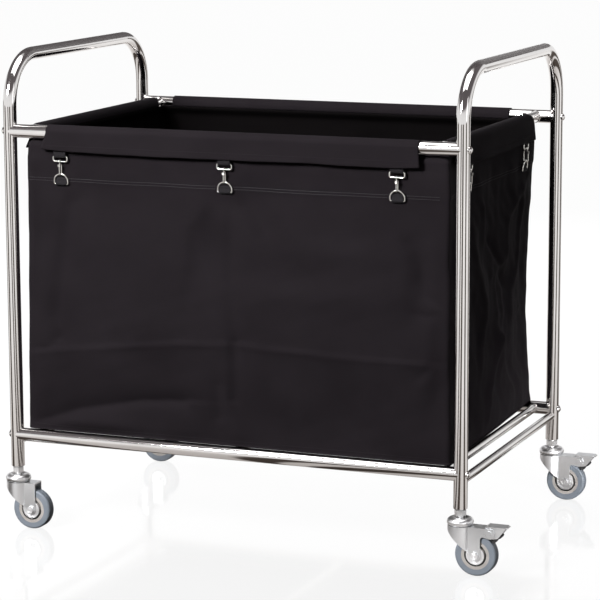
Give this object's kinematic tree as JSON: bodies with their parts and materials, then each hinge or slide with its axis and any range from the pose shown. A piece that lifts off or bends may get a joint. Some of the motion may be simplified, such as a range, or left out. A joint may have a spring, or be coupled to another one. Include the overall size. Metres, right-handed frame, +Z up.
{
  "type": "housekeeping cart",
  "caption": "Tubular steel housekeeping cart with hoop handles, a hanging open fabric bag held by snap hooks, and swivel castors with brakes at one end.",
  "frame": {"origin": "on the floor, under the middle of the whole cart's bounding box", "axes": "+X along the cart to the end with the braked castors, +Y to the rear, +Z up"},
  "size_m": [0.9888, 0.6124, 0.8975],
  "materials": {
    "polished_tube": "polished stainless steel",
    "bright_steel": "bright plated steel",
    "zinc_plate": "satin zinc plate",
    "clip_wire": "nickel-plated wire",
    "bag_fabric": "black woven polyester",
    "webbing": "black woven webbing",
    "wheel_core": "beige-grey moulded nylon",
    "grey_tyre": "blue-grey rubber",
    "brake_rubber": "black rubber",
    "dark_plug": "dark moulded plastic"
  },
  "bodies": {
    "frame": {"left_hoop": "polished_tube", "right_hoop": "polished_tube", "left_end_bar": "polished_tube", "right_end_bar": "polished_tube", "front_top_rail": "polished_tube", "rear_top_rail": "polished_tube", "front_bottom_rail": "polished_tube", "rear_bottom_rail": "polished_tube", "left_top_crossbar": "polished_tube", "right_top_crossbar": "polished_tube", "base_crossbars": "polished_tube", "rail_bolts": "polished_tube", "post_sockets": "dark_plug", "bag_body": "bag_fabric", "front_flap": "bag_fabric", "rear_flap": "bag_fabric", "left_flap": "bag_fabric", "right_flap": "bag_fabric", "clip_tabs": "webbing", "ring_tabs": "webbing", "ring_loops": "clip_wire", "d_rings": "clip_wire", "snap_hooks": "clip_wire", "gate_pins": "clip_wire", "caster_stems": "bright_steel", "swivel_caps": "bright_steel", "swivel_races": "dark_plug"},
    "swivel_front_left": {"fork_front_left": "zinc_plate", "axle_front_left": "bright_steel"},
    "wheel_front_left": {"core_front_left": "wheel_core", "tyre_front_left": "grey_tyre"},
    "swivel_front_right": {"fork_front_right": "zinc_plate", "axle_front_right": "bright_steel", "pedal_pin_front_right": "zinc_plate"},
    "wheel_front_right": {"core_front_right": "wheel_core", "tyre_front_right": "grey_tyre"},
    "brake_front_right": {"pedal_front_right": "zinc_plate", "pad_front_right": "brake_rubber"},
    "swivel_rear_left": {"fork_rear_left": "zinc_plate", "axle_rear_left": "bright_steel"},
    "wheel_rear_left": {"core_rear_left": "wheel_core", "tyre_rear_left": "grey_tyre"},
    "swivel_rear_right": {"fork_rear_right": "zinc_plate", "axle_rear_right": "bright_steel", "pedal_pin_rear_right": "zinc_plate"},
    "wheel_rear_right": {"core_rear_right": "wheel_core", "tyre_rear_right": "grey_tyre"},
    "brake_rear_right": {"pedal_rear_right": "zinc_plate", "pad_rear_right": "brake_rubber"},
    "gate_front_1": {"gate_front_1": "clip_wire"},
    "gate_front_2": {"gate_front_2": "clip_wire"},
    "gate_front_3": {"gate_front_3": "clip_wire"},
    "gate_rear_1": {"gate_rear_1": "clip_wire"},
    "gate_rear_2": {"gate_rear_2": "clip_wire"},
    "gate_rear_3": {"gate_rear_3": "clip_wire"},
    "gate_right_1": {"gate_right_1": "clip_wire"},
    "gate_right_2": {"gate_right_2": "clip_wire"},
    "gate_left_1": {"gate_left_1": "clip_wire"},
    "gate_left_2": {"gate_left_2": "clip_wire"}
  },
  "joints": [
    {"name": "swivel_front_left", "type": "hinge", "parent": "frame", "child": "swivel_front_left", "pos_m": [-0.47063, -0.2825, 0.0884], "axis": [0, 0, 1], "continuous": true},
    {"name": "wheel_front_left", "type": "hinge", "parent": "swivel_front_left", "child": "wheel_front_left", "pos_m": [-0.43962, -0.2825, 0.038], "axis": [0, 1, 0], "continuous": true},
    {"name": "swivel_front_right", "type": "hinge", "parent": "frame", "child": "swivel_front_right", "pos_m": [0.40437, -0.2825, 0.0884], "axis": [0, 0, 1], "continuous": true},
    {"name": "wheel_front_right", "type": "hinge", "parent": "swivel_front_right", "child": "wheel_front_right", "pos_m": [0.43538, -0.2825, 0.038], "axis": [0, 1, 0], "continuous": true},
    {"name": "brake_front_right", "type": "hinge", "parent": "swivel_front_right", "child": "brake_front_right", "pos_m": [0.46237, -0.2825, 0.0795], "axis": [0, 1, 0], "range_deg": [0, 10]},
    {"name": "swivel_rear_left", "type": "hinge", "parent": "frame", "child": "swivel_rear_left", "pos_m": [-0.47063, 0.2825, 0.0884], "axis": [0, 0, 1], "continuous": true},
    {"name": "wheel_rear_left", "type": "hinge", "parent": "swivel_rear_left", "child": "wheel_rear_left", "pos_m": [-0.43962, 0.2825, 0.038], "axis": [0, 1, 0], "continuous": true},
    {"name": "swivel_rear_right", "type": "hinge", "parent": "frame", "child": "swivel_rear_right", "pos_m": [0.40437, 0.2825, 0.0884], "axis": [0, 0, 1], "continuous": true},
    {"name": "wheel_rear_right", "type": "hinge", "parent": "swivel_rear_right", "child": "wheel_rear_right", "pos_m": [0.43538, 0.2825, 0.038], "axis": [0, 1, 0], "continuous": true},
    {"name": "brake_rear_right", "type": "hinge", "parent": "swivel_rear_right", "child": "brake_rear_right", "pos_m": [0.46237, 0.2825, 0.0795], "axis": [0, 1, 0], "range_deg": [0, 10]},
    {"name": "gate_front_1", "type": "hinge", "parent": "frame", "child": "gate_front_1", "pos_m": [-0.36412, -0.2962, 0.6901], "axis": [1, 0, 0], "range_deg": [0, 22], "stiffness_Nm_per_rad": 0.01, "springref_deg": -5.73},
    {"name": "gate_front_2", "type": "hinge", "parent": "frame", "child": "gate_front_2", "pos_m": [-0.03812, -0.2962, 0.6901], "axis": [1, 0, 0], "range_deg": [0, 22], "stiffness_Nm_per_rad": 0.01, "springref_deg": -5.73},
    {"name": "gate_front_3", "type": "hinge", "parent": "frame", "child": "gate_front_3", "pos_m": [0.28787, -0.2962, 0.6901], "axis": [1, 0, 0], "range_deg": [0, 22], "stiffness_Nm_per_rad": 0.01, "springref_deg": -5.73},
    {"name": "gate_rear_1", "type": "hinge", "parent": "frame", "child": "gate_rear_1", "pos_m": [0.28787, 0.2962, 0.6901], "axis": [-1, 0, 0], "range_deg": [0, 22], "stiffness_Nm_per_rad": 0.01, "springref_deg": -5.73},
    {"name": "gate_rear_2", "type": "hinge", "parent": "frame", "child": "gate_rear_2", "pos_m": [-0.03812, 0.2962, 0.6901], "axis": [-1, 0, 0], "range_deg": [0, 22], "stiffness_Nm_per_rad": 0.01, "springref_deg": -5.73},
    {"name": "gate_rear_3", "type": "hinge", "parent": "frame", "child": "gate_rear_3", "pos_m": [-0.36412, 0.2962, 0.6901], "axis": [-1, 0, 0], "range_deg": [0, 22], "stiffness_Nm_per_rad": 0.01, "springref_deg": -5.73},
    {"name": "gate_right_1", "type": "hinge", "parent": "frame", "child": "gate_right_1", "pos_m": [0.37707, -0.15, 0.6901], "axis": [0, 1, 0], "range_deg": [0, 22], "stiffness_Nm_per_rad": 0.01, "springref_deg": -5.73},
    {"name": "gate_right_2", "type": "hinge", "parent": "frame", "child": "gate_right_2", "pos_m": [0.37707, 0.19, 0.6901], "axis": [0, 1, 0], "range_deg": [0, 22], "stiffness_Nm_per_rad": 0.01, "springref_deg": -5.73},
    {"name": "gate_left_1", "type": "hinge", "parent": "frame", "child": "gate_left_1", "pos_m": [-0.44333, 0.19, 0.6901], "axis": [0, -1, 0], "range_deg": [0, 22], "stiffness_Nm_per_rad": 0.01, "springref_deg": -5.73},
    {"name": "gate_left_2", "type": "hinge", "parent": "frame", "child": "gate_left_2", "pos_m": [-0.44333, -0.15, 0.6901], "axis": [0, -1, 0], "range_deg": [0, 22], "stiffness_Nm_per_rad": 0.01, "springref_deg": -5.73}
  ]
}
